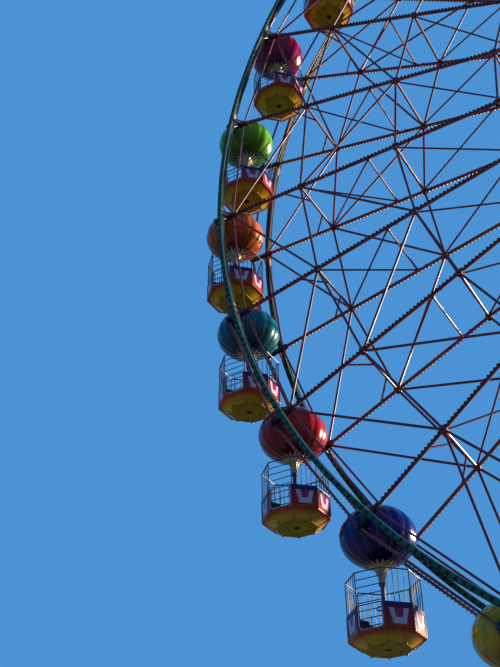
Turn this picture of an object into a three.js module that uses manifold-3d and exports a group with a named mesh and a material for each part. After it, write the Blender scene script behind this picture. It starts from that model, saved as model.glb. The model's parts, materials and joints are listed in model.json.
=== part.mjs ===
// Giant wheel of a fairground: 28 hanging cars between two braced planes of spokes, on two A-frames.
// Millimetres, +Z up. The wheel turns about Y. The origin is on the ground under the hub.
import * as THREE from "three";
import { mergeVertices } from "three/addons/utils/BufferGeometryUtils.js";
import Module from "manifold-3d";

const manifold = await Module();
manifold.setup();

// Driving dimensions of the wheel
const hubHeight = 21300;
const rimInnerRadius = 16130;
const rimOuterRadius = 16245;
const rimOffset = 1250;
const carCount = 28;
const planeOffset = 976;
const seatGap = 0.3;

// Driving dimensions of the wheel's steelwork
const spokeSize = 84;
const rimWidth = 150;
const rimSegments = 56;
const nodeRadius = 16025;
const outerTieRadius = 13830;
const lowerTieRadius = 11800;
const middleTieRadius = 11000;
const innerTieRadius = 8200;
const braceSize = 56;
const tieSize = 48;
const weld = 2;
const ringTubeSize = 60;
const chordRadius = 16520;
const bracketWidth = 140;
const bracketInnerRadius = 15880;
const bracketThickness = 68;
const outriggerSize = 80;
const pivotRadius = 16540;
const hubDiscRadius = 1050;
const hubBarrelRadius = 460;
const hubSleeveRadius = 300;
const axleRadius = 260;
const axleReach = 2150;
const hubSides = 16;

// Driving dimensions of one car, measured from its pivot
const pinRadius = 40;
const pinSides = 6;
const pinPlay = 0.4;
const balloonCentre = 146;
const balloonRadius = 842;
const balloonHalfHeight = 680;
const carSides = 8;
const trumpetBottom = -790;
const trumpetTop = -555;
const trumpetRadius = 165;
const postRadius = 60;
const tubHalfWidth = 735;
const tubUnderside = -2280;
const bowlDepth = 180;
const floorShare = 0.63;
const panelHeight = 540;
const wallThickness = 40;
const openingWidth = 520;
const cageTop = -825;
const cageRingHeight = 40;

// Driving dimensions of the supports
const headLow = 20500;
const headHigh = 22050;
const headInner = 1500;
const headOuter = 1950;
const headHalfWidth = 800;
const bearingPlay = 0.5;
const legBaseX = 9000;
const legBaseY = 4300;
const legTopX = 480;
const legBaseSize = 520;
const legTopSize = 380;
const baseBeamHeight = 360;
const baseBeamWidth = 620;
const tieBeamZ = 9500;
const tieBeamHeight = 300;
const tieBeamWidth = 200;

const step = (2 * Math.PI) / carCount;
const facePlane = planeOffset + spokeSize / 2;
const innerPlane = planeOffset - spokeSize / 2;

const paint = {
  red: { color: 0xb23a3a, roughness: 0.45, metalness: 0.2 },
  green: { color: 0x1d6a48, roughness: 0.45, metalness: 0.2 },
  navy: { color: 0x23263f, roughness: 0.5, metalness: 0.3 },
  white: { color: 0xe8e8ea, roughness: 0.5, metalness: 0.1 },
  steel: { color: 0x8c9096, roughness: 0.4, metalness: 0.7 },
};
const carColours = [0xd9b21c, 0xb5237c, 0x2f8f3c, 0xe07a1c, 0x1f8f95, 0xc3262c, 0x2747b8];

const wheel = new THREE.Group();
wheel.position.z = hubHeight;
const supports = new THREE.Group();
const part = new THREE.Group();
part.add(wheel, supports);

function addMesh(group, name, geometry, material) {
  const mesh = new THREE.Mesh(geometry, new THREE.MeshStandardMaterial(material));
  mesh.name = name;
  group.add(mesh);
  return mesh;
}

// A closed geometry becomes a solid once its shared corners are merged.
function toSolid(geometry) {
  const bare = new THREE.BufferGeometry();
  bare.setAttribute("position", geometry.getAttribute("position"));
  if (geometry.index) bare.setIndex(geometry.index);
  const merged = mergeVertices(bare, 1e-3);
  return new manifold.Manifold(new manifold.Mesh({
    numProp: 3,
    vertProperties: Float32Array.from(merged.attributes.position.array),
    triVerts: Uint32Array.from(merged.index.array),
  }));
}

function toGeometry(solid) {
  const mesh = solid.getMesh();
  const geometry = new THREE.BufferGeometry();
  geometry.setAttribute("position", new THREE.BufferAttribute(mesh.vertProperties, 3));
  geometry.setIndex(new THREE.BufferAttribute(mesh.triVerts, 1));
  geometry.computeVertexNormals();
  return geometry;
}

function fuse(geometries) {
  return toGeometry(geometries.map(toSolid).reduce((all, next) => all.add(next)));
}

function box(sizeX, sizeY, sizeZ, x, y, z) {
  return new THREE.BoxGeometry(sizeX, sizeY, sizeZ).translate(x, y, z);
}

// A point of the wheel's plane: t runs from the top towards -X, side is along the rim.
function wheelPoint(t, radius, side = 0) {
  const x = -radius * Math.sin(t) - side * Math.cos(t);
  const z = radius * Math.cos(t) - side * Math.sin(t);
  return new THREE.Vector2(x, z);
}

function polygon(count, radius, turn = 0) {
  return Array.from({ length: count }, (_, i) => wheelPoint(turn + (2 * Math.PI * i) / count, radius));
}

// A flat plate in the wheel's plane, from y = low to y = high.
function plate(outline, holes, low, high) {
  const shape = new THREE.Shape(outline);
  shape.holes = holes.map((points) => new THREE.Path(points));
  const geometry = new THREE.ExtrudeGeometry(shape, { depth: high - low, bevelEnabled: false });
  return geometry.rotateX(Math.PI / 2).translate(0, high, 0);
}

// A straight-sided ring of the wheel with one corner at each spoke.
function chordRing(radius, size, low, high) {
  const reach = size / 2 / Math.cos(step / 2);
  return plate(polygon(carCount, radius + reach), [polygon(carCount, radius - reach)], low, high);
}

// Places a y range of the front plane (side = -1) or of the rear plane (side = +1).
function planeRange(side, near, far) {
  return side < 0 ? [-far, -near] : [near, far];
}

// A rim: a slim curved beam that the outriggers of the brackets hold
function rimGeometry(side) {
  const [low, high] = planeRange(side, rimOffset, rimOffset + rimWidth);
  const profile = [
    [rimInnerRadius, low], [rimOuterRadius, low], [rimOuterRadius, high],
    [rimInnerRadius, high], [rimInnerRadius, low],
  ].map(([r, y]) => new THREE.Vector2(r, y));
  return new THREE.LatheGeometry(profile, rimSegments);
}

// The spokes of one plane, standing on a disc round the hub
function spokesGeometry(side) {
  const [low, high] = planeRange(side, innerPlane, facePlane);
  const half = spokeSize / 2;
  const tip = bracketInnerRadius - seatGap;
  const outline = [];
  for (let k = 0; k < carCount; k += 1) {
    outline.push(wheelPoint(k * step, hubDiscRadius, -half), wheelPoint(k * step, tip, -half));
    outline.push(wheelPoint(k * step, tip, half), wheelPoint(k * step, hubDiscRadius, half));
  }
  return plate(outline, [polygon(hubSides, hubSleeveRadius + seatGap)], low, high);
}

// The straight outer tubes and the brackets that hold the cars' pins and the rim
function bracketRingGeometry(side) {
  const [low, high] = planeRange(side, facePlane - bracketThickness, facePlane);
  const half = bracketWidth / 2;
  const slope = Math.tan(step / 2);
  const reach = ringTubeSize / 2 / Math.cos(step / 2);
  const outerCorner = chordRadius + reach - half * slope;
  const innerCorner = chordRadius - reach - half * slope;
  const tip = half * 0.8;
  const outline = [];
  const inside = [];
  const pinHoles = [];
  const hole = pinRadius + pinPlay;
  for (let k = 0; k < carCount; k += 1) {
    const t = k * step;
    outline.push(wheelPoint(t, outerCorner, -half), wheelPoint(t, pivotRadius + tip, -tip));
    outline.push(wheelPoint(t, pivotRadius + tip, tip), wheelPoint(t, outerCorner, half));
    inside.push(wheelPoint(t, innerCorner, -half), wheelPoint(t, bracketInnerRadius, -tip));
    inside.push(wheelPoint(t, bracketInnerRadius, tip), wheelPoint(t, innerCorner, half));
    pinHoles.push([[-1, -1], [1, -1], [1, 1], [-1, 1]].map(([a, b]) =>
      wheelPoint(t, pivotRadius + a * hole, b * hole)));
  }
  const ring = plate(outline, [inside, ...pinHoles], low, high);
  const [root, end] = [facePlane - bracketThickness / 2, rimOffset - seatGap];
  const outriggers = [];
  for (let k = 0; k < carCount; k += 1) {
    const at = wheelPoint(k * step, (rimInnerRadius + rimOuterRadius) / 2);
    const outrigger = new THREE.BoxGeometry(outriggerSize, end - root, outriggerSize);
    outriggers.push(outrigger.rotateY(-k * step).translate(at.x, side * (root + end) / 2, at.y));
  }
  return fuse([ring, ...outriggers]);
}

// The braces of one plane between two rings, as a flat zigzag behind the spokes. They meet at the
// outer ring on every second spoke, starting with spoke number first, and at the inner ring between.
function zigzagGeometry(side, first, outerTip, innerTip) {
  const [low, high] = planeRange(side, innerPlane - seatGap - braceSize, innerPlane - seatGap);
  const slant = wheelPoint(step, innerTip).sub(wheelPoint(0, outerTip)).normalize();
  const acrossSpoke = Math.abs(slant.x);
  const acrossNextSpoke = Math.abs(slant.x * Math.cos(step) + slant.y * Math.sin(step));
  const outline = [];
  const inside = [];
  for (let k = first; k < first + carCount; k += 2) {
    const [t, next] = [k * step, (k + 1) * step];
    outline.push(wheelPoint(t, outerTip), wheelPoint(next, innerTip + braceSize / acrossNextSpoke));
    inside.push(wheelPoint(t, outerTip - braceSize / acrossSpoke), wheelPoint(next, innerTip));
  }
  return plate(outline, [inside], low, high);
}

// The frame between the planes at one spoke: a cross tie at both radii and two crossed braces.
// It is drawn with the wheel's Y along the page and the radius up it. The ties are thicker by the
// weld between the braces.
function crossFrame(outer, outerReach, inner, innerReach) {
  const half = tieSize / 2;
  const [top, bottom] = [outer - half, inner + half];
  const reach = innerPlane - 2 * seatGap - braceSize;
  const cut = (tieSize * Math.hypot(2 * reach, top - bottom)) / (top - bottom);
  const middle = (top + bottom) / 2;
  const open = ((top - bottom) * (reach - cut)) / (2 * reach - cut);
  const right = [
    [innerReach, inner - half], [innerReach, bottom], [reach, bottom], [cut / 2, middle],
    [reach, top], [outerReach, top], [outerReach, outer + half],
  ];
  const left = right.map(([y, r]) => [-y, r]).reverse();
  const holes = [
    [[reach - cut, top - weld], [0, top - open], [cut - reach, top - weld]],
    [[reach - cut, bottom + weld], [0, bottom + open], [cut - reach, bottom + weld]],
  ];
  const toPoints = (corners) => corners.map(([y, r]) => new THREE.Vector2(y, r));
  const shape = new THREE.Shape(toPoints([...right, ...left]));
  shape.holes = holes.map((corners) => new THREE.Path(toPoints(corners)));
  const geometry = new THREE.ExtrudeGeometry(shape, { depth: tieSize, bevelEnabled: false });
  return geometry.translate(0, 0, -half).rotateZ(Math.PI / 2).rotateY(Math.PI / 2);
}

// The 28 cross frames between two radii, joined by a ring in both planes at each radius of rings
function tieDrumGeometry(outer, inner, ringRadii) {
  const inRing = innerPlane - seatGap - braceSize / 2;
  const atSpoke = innerPlane - seatGap;
  const reach = (radius) => (ringRadii.includes(radius) ? inRing : atSpoke);
  const frames = [];
  for (let k = 0; k < carCount; k += 1) {
    frames.push(crossFrame(outer, reach(outer), inner, reach(inner)).rotateY(-k * step));
  }
  const rings = ringRadii.flatMap((radius) => [-1, 1].map((side) => {
    const [low, high] = planeRange(side, innerPlane - seatGap - braceSize, innerPlane - seatGap);
    return chordRing(radius, braceSize, low, high);
  }));
  return fuse([...rings, ...frames]);
}

// The hub: a barrel between the planes, a sleeve in each disc and the axle's two ends
function hubGeometry() {
  const sleeveEnd = facePlane + 3 * ringTubeSize;
  const profile = [
    [0, -axleReach], [axleRadius, -axleReach], [axleRadius, -sleeveEnd],
    [hubSleeveRadius, -sleeveEnd], [hubSleeveRadius, -innerPlane + seatGap],
    [hubBarrelRadius, -innerPlane + seatGap], [hubBarrelRadius, innerPlane - seatGap],
    [hubSleeveRadius, innerPlane - seatGap], [hubSleeveRadius, sleeveEnd],
    [axleRadius, sleeveEnd], [axleRadius, axleReach], [0, axleReach],
  ].map(([r, y]) => new THREE.Vector2(r, y));
  return new THREE.LatheGeometry(profile, hubSides);
}

function lathe(points, sides, turn) {
  const profile = points.map(([r, z]) => new THREE.Vector2(r, z));
  return new THREE.LatheGeometry(profile, sides).rotateX(Math.PI / 2).rotateZ(turn);
}

// One car: the balloon roof on its pin, the trumpet and post below it and the eight-sided tub with its cage,
// in one piece. The pin is turned so that its corners face the flats of the bracket's hole.
function carGeometry(pinTurn) {
  const corner = tubHalfWidth / Math.cos(Math.PI / carSides);
  const panelLow = tubUnderside + bowlDepth;
  const panelTop = panelLow + panelHeight;
  const floorTop = panelLow + wallThickness;
  const cageLow = cageTop - cageRingHeight;
  const tub = lathe([
    [0, tubUnderside], [corner * floorShare, tubUnderside], [corner, panelLow], [corner, cageTop],
    [corner - wallThickness, cageTop], [corner - wallThickness, floorTop], [0, floorTop],
  ], carSides, Math.PI / carSides);
  const balloon = [-50, 0, 48].map((degrees) => {
    const latitude = (degrees * Math.PI) / 180;
    return [balloonRadius * Math.cos(latitude), balloonCentre + balloonHalfHeight * Math.sin(latitude)];
  });
  const core = lathe([
    [0, floorTop - wallThickness / 2], [postRadius, floorTop - wallThickness / 2],
    [postRadius, trumpetBottom], [trumpetRadius, trumpetTop], ...balloon,
    [0, balloonCentre + balloonHalfHeight],
  ], carSides, Math.PI / carSides);
  const windows = [0, 1, 2, 3].map((i) =>
    box(openingWidth, 3 * tubHalfWidth, cageLow - panelTop, 0, 0, (cageLow + panelTop) / 2)
      .rotateZ((i * Math.PI) / 4));
  const doorway = box(openingWidth, 4 * wallThickness, panelTop - floorTop + wallThickness,
    0, -tubHalfWidth, (panelTop + floorTop + wallThickness) / 2);
  const pin = new THREE.CylinderGeometry(pinRadius, pinRadius, 2 * facePlane, pinSides).rotateY(pinTurn);
  const opened = [...windows, doorway].map(toSolid).reduce((all, next) => all.subtract(next), toSolid(tub));
  return toGeometry(opened.add(toSolid(core)).add(toSolid(pin)));
}

// A leg stands on its beam and ends flat under the head, so it is a box with moved corners.
function legGeometry(sideX, sideY) {
  const low = baseBeamHeight + seatGap;
  const high = headLow - seatGap;
  const geometry = new THREE.BoxGeometry(1, 1, 1);
  const position = geometry.attributes.position;
  const topY = (headInner + headOuter) / 2;
  for (let i = 0; i < position.count; i += 1) {
    const isTop = position.getZ(i) > 0;
    const size = isTop ? legTopSize : legBaseSize;
    const x = sideX * (isTop ? legTopX : legBaseX) + position.getX(i) * size;
    const y = sideY * (isTop ? topY : legBaseY) + position.getY(i) * size;
    position.setXYZ(i, x, y, isTop ? high : low);
  }
  return geometry;
}

// The cross beam between the two legs of one side, its ends cut to the legs' slope
function tieBeamGeometry(sideY) {
  const low = baseBeamHeight;
  const high = headLow;
  const share = (z) => (z - low) / (high - low);
  const inside = (z) => legBaseX + (legTopX - legBaseX) * share(z)
    - (legBaseSize + (legTopSize - legBaseSize) * share(z)) / 2 - 2 * seatGap;
  const middleY = legBaseY + ((headInner + headOuter) / 2 - legBaseY) * share(tieBeamZ);
  const geometry = new THREE.BoxGeometry(1, tieBeamWidth, tieBeamHeight);
  geometry.translate(0, sideY * middleY, tieBeamZ);
  const position = geometry.attributes.position;
  for (let i = 0; i < position.count; i += 1) {
    position.setX(i, Math.sign(position.getX(i)) * inside(position.getZ(i)));
  }
  return geometry;
}

// The head that holds one end of the axle: the flats of its bore face the corners of the axle
function headGeometry(sideY) {
  const middle = (headInner + headOuter) / 2;
  const high = headHigh - headLow;
  const block = box(2 * headHalfWidth, headOuter - headInner, high, 0, sideY * middle, headLow + high / 2);
  const boreRadius = (axleRadius + bearingPlay) / Math.cos(Math.PI / hubSides);
  const bore = new THREE.CylinderGeometry(boreRadius, boreRadius, 2 * headOuter, hubSides)
    .rotateY(Math.PI / hubSides).translate(0, sideY * middle, hubHeight);
  return toGeometry(toSolid(block).subtract(toSolid(bore)));
}

// The zigzags end against the rings.
const ringReach = braceSize / 2 / Math.cos(step / 2) + seatGap;

for (const [side, name] of [[-1, "front"], [1, "rear"]]) {
  addMesh(wheel, `${name}_rim`, rimGeometry(side), paint.green);
  addMesh(wheel, `${name}_spokes`, spokesGeometry(side), paint.red);
  addMesh(wheel, `${name}_bracket_ring`, bracketRingGeometry(side), paint.navy);
  const [low, high] = planeRange(side, facePlane + seatGap, facePlane + seatGap + braceSize);
  addMesh(wheel, `${name}_node_ring`, chordRing(nodeRadius, braceSize, low, high), paint.red);
  const outerBraces = zigzagGeometry(side, 1, nodeRadius + ringReach, outerTieRadius + ringReach);
  addMesh(wheel, `${name}_outer_braces`, outerBraces, paint.red);
  const middleBraces = zigzagGeometry(side, 1, outerTieRadius - ringReach, middleTieRadius + ringReach);
  addMesh(wheel, `${name}_middle_braces`, middleBraces, paint.red);
  addMesh(supports, `${name}_bearing_head`, headGeometry(side), paint.white);
  addMesh(supports, `${name}_tie_beam`, tieBeamGeometry(side), paint.white);
  addMesh(supports, `${name}_left_leg`, legGeometry(-1, side), paint.white);
  addMesh(supports, `${name}_right_leg`, legGeometry(1, side), paint.white);
}
const outerDrum = tieDrumGeometry(outerTieRadius, lowerTieRadius, [outerTieRadius]);
addMesh(wheel, "outer_tie_drum", outerDrum, paint.red);
const innerDrum = tieDrumGeometry(middleTieRadius, innerTieRadius, [middleTieRadius, innerTieRadius]);
addMesh(wheel, "inner_tie_drum", innerDrum, paint.red);
addMesh(wheel, "hub_axle", hubGeometry(), paint.steel);

for (const [side, name] of [[-1, "left"], [1, "right"]]) {
  const beam = box(baseBeamWidth, 2 * legBaseY + 2 * baseBeamWidth, baseBeamHeight,
    side * legBaseX, 0, baseBeamHeight / 2);
  addMesh(supports, `${name}_base_beam`, beam, paint.steel);
}
for (const [side, name] of [[-1, "front"], [1, "rear"]]) {
  const length = 2 * legBaseX - baseBeamWidth - 2 * seatGap;
  const beam = box(length, baseBeamWidth, baseBeamHeight, 0, side * legBaseY, baseBeamHeight / 2);
  addMesh(supports, `${name}_base_beam`, beam, paint.steel);
}

for (let k = 0; k < carCount; k += 1) {
  const at = wheelPoint(k * step, pivotRadius);
  const colour = { color: carColours[(k + 3) % carColours.length], roughness: 0.35, metalness: 0.1 };
  const name = `car_${String(k + 1).padStart(2, "0")}`;
  addMesh(wheel, name, carGeometry(-k * step), colour).position.set(at.x, 0, at.y);
}

export default part;
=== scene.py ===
import json
import math
import bpy
import numpy as np
from mathutils import Matrix, Vector


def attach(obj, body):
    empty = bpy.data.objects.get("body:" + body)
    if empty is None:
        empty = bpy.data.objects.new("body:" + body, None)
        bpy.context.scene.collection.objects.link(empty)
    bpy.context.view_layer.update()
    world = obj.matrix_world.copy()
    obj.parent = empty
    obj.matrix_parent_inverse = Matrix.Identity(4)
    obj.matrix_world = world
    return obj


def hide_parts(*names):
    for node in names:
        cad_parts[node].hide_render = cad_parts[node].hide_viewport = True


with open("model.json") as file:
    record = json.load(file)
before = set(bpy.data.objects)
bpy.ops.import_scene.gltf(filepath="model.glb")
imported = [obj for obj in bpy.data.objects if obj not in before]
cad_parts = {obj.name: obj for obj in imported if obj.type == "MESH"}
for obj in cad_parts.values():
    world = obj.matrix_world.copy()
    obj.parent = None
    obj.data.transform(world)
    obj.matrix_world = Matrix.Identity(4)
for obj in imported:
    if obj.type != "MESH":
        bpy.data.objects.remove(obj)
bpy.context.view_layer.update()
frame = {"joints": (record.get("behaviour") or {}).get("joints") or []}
hubHeight = next(j["pos_m"][2] for j in frame["joints"] if j["name"] == "wheel_spin")
stationCount = 28
stationStep = 2 * math.pi / stationCount

# radii of the wheel's joints, in metres from the hub, and the spoke planes' distance from its middle
wheel = {
    "plane": 0.976,
    "node": 16.025,
    "outerTie": 13.83,
    "lowerTie": 11.80,
    "middleTie": 11.0,
    "innerTie": 8.2,
    "chord": 16.52,
    "pivot": 16.54,
}


# where the picture was taken from, in metres, and which way the camera looked, in degrees
photoView = {
    "place": (-5.196, -18.258, 2.274),
    "azimuth": -30.792,     # degrees from +Y towards +X
    "elevation": 36.161,
    "roll": -0.738,
    "lens": 52.83,
    "sensor": 36,           # mm across
    "clipEnd": 400,
}


def linked(name, data):
    piece = bpy.data.objects.new(name, data)
    bpy.context.scene.collection.objects.link(piece)
    return piece


def makeCamera(view):
    azimuth, elevation, roll = (math.radians(view[k]) for k in ("azimuth", "elevation", "roll"))
    ahead = Vector((math.sin(azimuth) * math.cos(elevation),
                    math.cos(azimuth) * math.cos(elevation), math.sin(elevation)))
    level = Vector((math.cos(azimuth), -math.sin(azimuth), 0))
    upright = level.cross(ahead)
    right = level * math.cos(roll) + upright * math.sin(roll)
    up = upright * math.cos(roll) - level * math.sin(roll)
    data = bpy.data.cameras.new("photoCamera")
    data.lens = view["lens"]
    data.sensor_width = view["sensor"]
    data.clip_end = view["clipEnd"]
    camera = linked("photoCamera", data)
    turn = Matrix((right, up, -ahead)).transposed()
    camera.matrix_world = Matrix.Translation(view["place"]) @ turn.to_4x4()
    bpy.context.scene.camera = camera
    print("camera placed")


makeCamera(photoView)


# what one piece is gathered in
def newMesh():
    return {"points": [], "faces": [], "slots": [], "count": 0}


# adds a shape with one material slot, or with a list of slots, one to a face
def addPart(mesh, shape, slot=0, matrix=None):
    points, faces = shape
    points = np.asarray(points, float)
    if matrix is not None:
        points = points @ matrix[:3, :3].T + matrix[:3, 3]
    start = mesh["count"]
    mesh["points"].append(points)
    mesh["faces"] += [tuple(i + start for i in face) for face in faces]
    mesh["slots"] += slot if isinstance(slot, list) else [slot] * len(faces)
    mesh["count"] += len(points)


def unit(vector):
    vector = np.asarray(vector, float)
    return vector / np.linalg.norm(vector)


# a placement whose local z is the given facing and whose local x leans towards along
def placement(origin, along, facing):
    z = unit(facing)
    x = unit(np.asarray(along, float) - z * np.dot(z, along))
    matrix = np.eye(4)
    matrix[:3, 0], matrix[:3, 1], matrix[:3, 2], matrix[:3, 3] = x, np.cross(z, x), z, origin
    return matrix


def setPart(mesh, shape, slot, origin, along, facing):
    addPart(mesh, shape, slot, placement(origin, along, facing))


def turnAngle(k, count):
    return 2 * math.pi * k / count


def around(radius, angle, height):
    return (radius * math.cos(angle), radius * math.sin(angle), height)


# the quads between two rings of points that start at a and b
def quads(a, b, count):
    return [[a + k, a + (k + 1) % count, b + (k + 1) % count, b + k] for k in range(count)]


def makeObject(name, mesh, materials, body, replaced=(), sharp=32, place=None):
    data = bpy.data.meshes.new(name)
    data.from_pydata(np.concatenate(mesh["points"]).tolist(), [], mesh["faces"])
    for material in materials:
        data.materials.append(material)
    data.polygons.foreach_set("material_index", mesh["slots"])
    data.polygons.foreach_set("use_smooth", [True] * len(data.polygons))
    data.set_sharp_from_angle(angle=math.radians(sharp))
    data.update()
    piece = linked(name, data)
    if place is not None:
        piece.location = place
    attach(piece, body)
    if replaced:
        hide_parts(*replaced)
    return piece


# a turned shape about local z from (radius, height) pairs, ends on the axis closed to a point
def turned(profile, sides, turn=0.0):
    points, faces, rings = [], [], []
    for radius, height in profile:
        if radius < 1e-9:
            rings.append([len(points)] * sides)
            points.append((0, 0, height))
        else:
            rings.append(list(range(len(points), len(points) + sides)))
            points += [around(radius, turn + turnAngle(i, sides), height) for i in range(sides)]
    for low, high in zip(rings, rings[1:]):
        for i in range(sides):
            j = (i + 1) % sides
            corners = [low[i], low[j], high[j], high[i]]
            face = [c for n, c in enumerate(corners) if c not in corners[:n]]
            if len(face) > 2:
                faces.append(face)
    return points, faces


def drum(radius, low, high, sides, turn=0.0):
    return turned([(0, low), (radius, low), (radius, high), (0, high)], sides, turn)


# a six-sided bolt head or nut with a bevelled crown
def boltHead(radius, crown, low, shoulder, high):
    return turned([(0, low), (radius, low), (radius, shoulder), (crown, high), (0, high)], 6)


# a flat outline extruded along local z, with a small chamfer round its upper edge
def plate(outline, low, high, chamfer=0.0):
    outline = np.asarray(outline, float)
    area = np.sum(outline[:, 0] * np.roll(outline[:, 1], -1) - outline[:, 1] * np.roll(outline[:, 0], -1))
    if area < 0:
        outline = outline[::-1]
    count = len(outline)
    levels = [(outline, low)]
    if chamfer:
        before, after = outline - np.roll(outline, 1, 0), np.roll(outline, -1, 0) - outline
        before /= np.linalg.norm(before, axis=1)[:, None]
        after /= np.linalg.norm(after, axis=1)[:, None]
        normal = np.stack([-(before + after)[:, 1], (before + after)[:, 0]], 1)
        normal /= np.maximum(np.linalg.norm(normal, axis=1), 1e-6)[:, None]
        lean = np.maximum(np.abs(before[:, 0] * normal[:, 1] - before[:, 1] * normal[:, 0]), 0.35)
        levels += [(outline, high - chamfer), (outline + normal * (chamfer / lean)[:, None], high)]
    else:
        levels.append((outline, high))
    points = np.concatenate([np.column_stack([o, np.full(count, z)]) for o, z in levels])
    faces = [list(range(count))[::-1]]
    for level in range(len(levels) - 1):
        faces += quads(level * count, (level + 1) * count, count)
    faces.append([(len(levels) - 1) * count + i for i in range(count)])
    return points, faces


def oblong(left, right, low, high):
    return [(left, low), (right, low), (right, high), (left, high)]


# the outline of a rectangle with round corners
def rounded(halfX, halfY, radius, steps=3):
    outline = []
    for cx, cy, start in ((1, 1, 0), (-1, 1, 90), (-1, -1, 180), (1, -1, 270)):
        for i in range(steps + 1):
            angle = math.radians(start + 90 * i / steps)
            outline.append((cx * (halfX - radius) + radius * math.cos(angle),
                            cy * (halfY - radius) + radius * math.sin(angle)))
    return outline


def tube(mesh, start, end, radius, sides=10, slot=0):
    start, end = np.asarray(start, float), np.asarray(end, float)
    axis = end - start
    length = np.linalg.norm(axis)
    lean = (0, 1, 0) if abs(axis[1]) < 0.9 * length else (1, 0, 0)
    setPart(mesh, drum(radius, 0, length, sides), slot, start, lean, axis)


# a bent rod through the path's points, mitred at its corners
def rod(mesh, path, radius, sides=8, slot=0, closed=False):
    path = np.asarray(path, float)
    count = len(path)
    ahead = np.roll(path, -1, 0) - path
    ahead /= np.maximum(np.linalg.norm(ahead, axis=1), 1e-9)[:, None]
    behind = np.roll(ahead, 1, 0)
    if not closed:
        ahead[-1], behind[0] = ahead[-2], ahead[0]
    guide = np.array((0.0, 0.0, 1.0)) if abs(ahead[0][2]) < 0.9 else np.array((1.0, 0.0, 0.0))
    side = unit(np.cross(ahead[0], guide))
    points = []
    for i in range(count):
        if i:
            side = unit(side - ahead[i - 1] * np.dot(ahead[i - 1], side))
        other = np.cross(behind[i], side)
        bisector = unit(ahead[i] + behind[i])
        for k in range(sides):
            angle = turnAngle(k, sides)
            offset = radius * (math.cos(angle) * side + math.sin(angle) * other)
            slide = -np.dot(offset, bisector) / max(np.dot(behind[i], bisector), 0.3)
            points.append(path[i] + offset + behind[i] * slide)
    faces = []
    for i in range(count if closed else count - 1):
        faces += quads(i * sides, (i + 1) % count * sides, sides)
    if not closed:
        faces += [list(range(sides))[::-1], [(count - 1) * sides + k for k in range(sides)]]
    addPart(mesh, (points, faces), slot)


# the point at a radius in the direction t, measured from the top, and then to the side
def wheelPoint(t, radius, y=0.0, side=0.0):
    return np.array((-radius * math.sin(t) - side * math.cos(t), y,
                     hubHeight + radius * math.cos(t) - side * math.sin(t)))


def outward(t):
    return np.array((-math.sin(t), 0.0, math.cos(t)))


def sideways(t):
    return np.array((-math.cos(t), 0.0, -math.sin(t)))


# a closed (radius, y) outline swept round the wheel's axle
def swept(outline, segments):
    count = len(outline)
    points = [wheelPoint(turnAngle(i, segments), r, y) for i in range(segments) for r, y in outline]
    faces = []
    for i in range(segments):
        a, b = i * count, (i + 1) % segments * count
        faces += [[a + k, b + k, b + (k + 1) % count, a + (k + 1) % count] for k in range(count)]
    return points, faces


def linear(code):
    parts = [int(code[i:i + 2], 16) / 255 for i in (0, 2, 4)]
    return tuple(c / 12.92 if c <= 0.04045 else ((c + 0.055) / 1.055) ** 2.4 for c in parts) + (1.0,)


def addNode(tree, kind, inputs=None, **settings):
    node = tree.nodes.new(kind)
    for name, value in settings.items():
        setattr(node, name, value)
    for socket, value in (inputs or {}).items():
        if isinstance(value, bpy.types.NodeSocket):
            tree.links.new(value, node.inputs[socket])
        else:
            node.inputs[socket].default_value = value
    return node


# shares of the noise at which a skin begins to look faded, is all faded, and is all dirty
wear = {"fadeFrom": 0.38, "fadeTo": 0.68, "dirtTo": 0.78}
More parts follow.
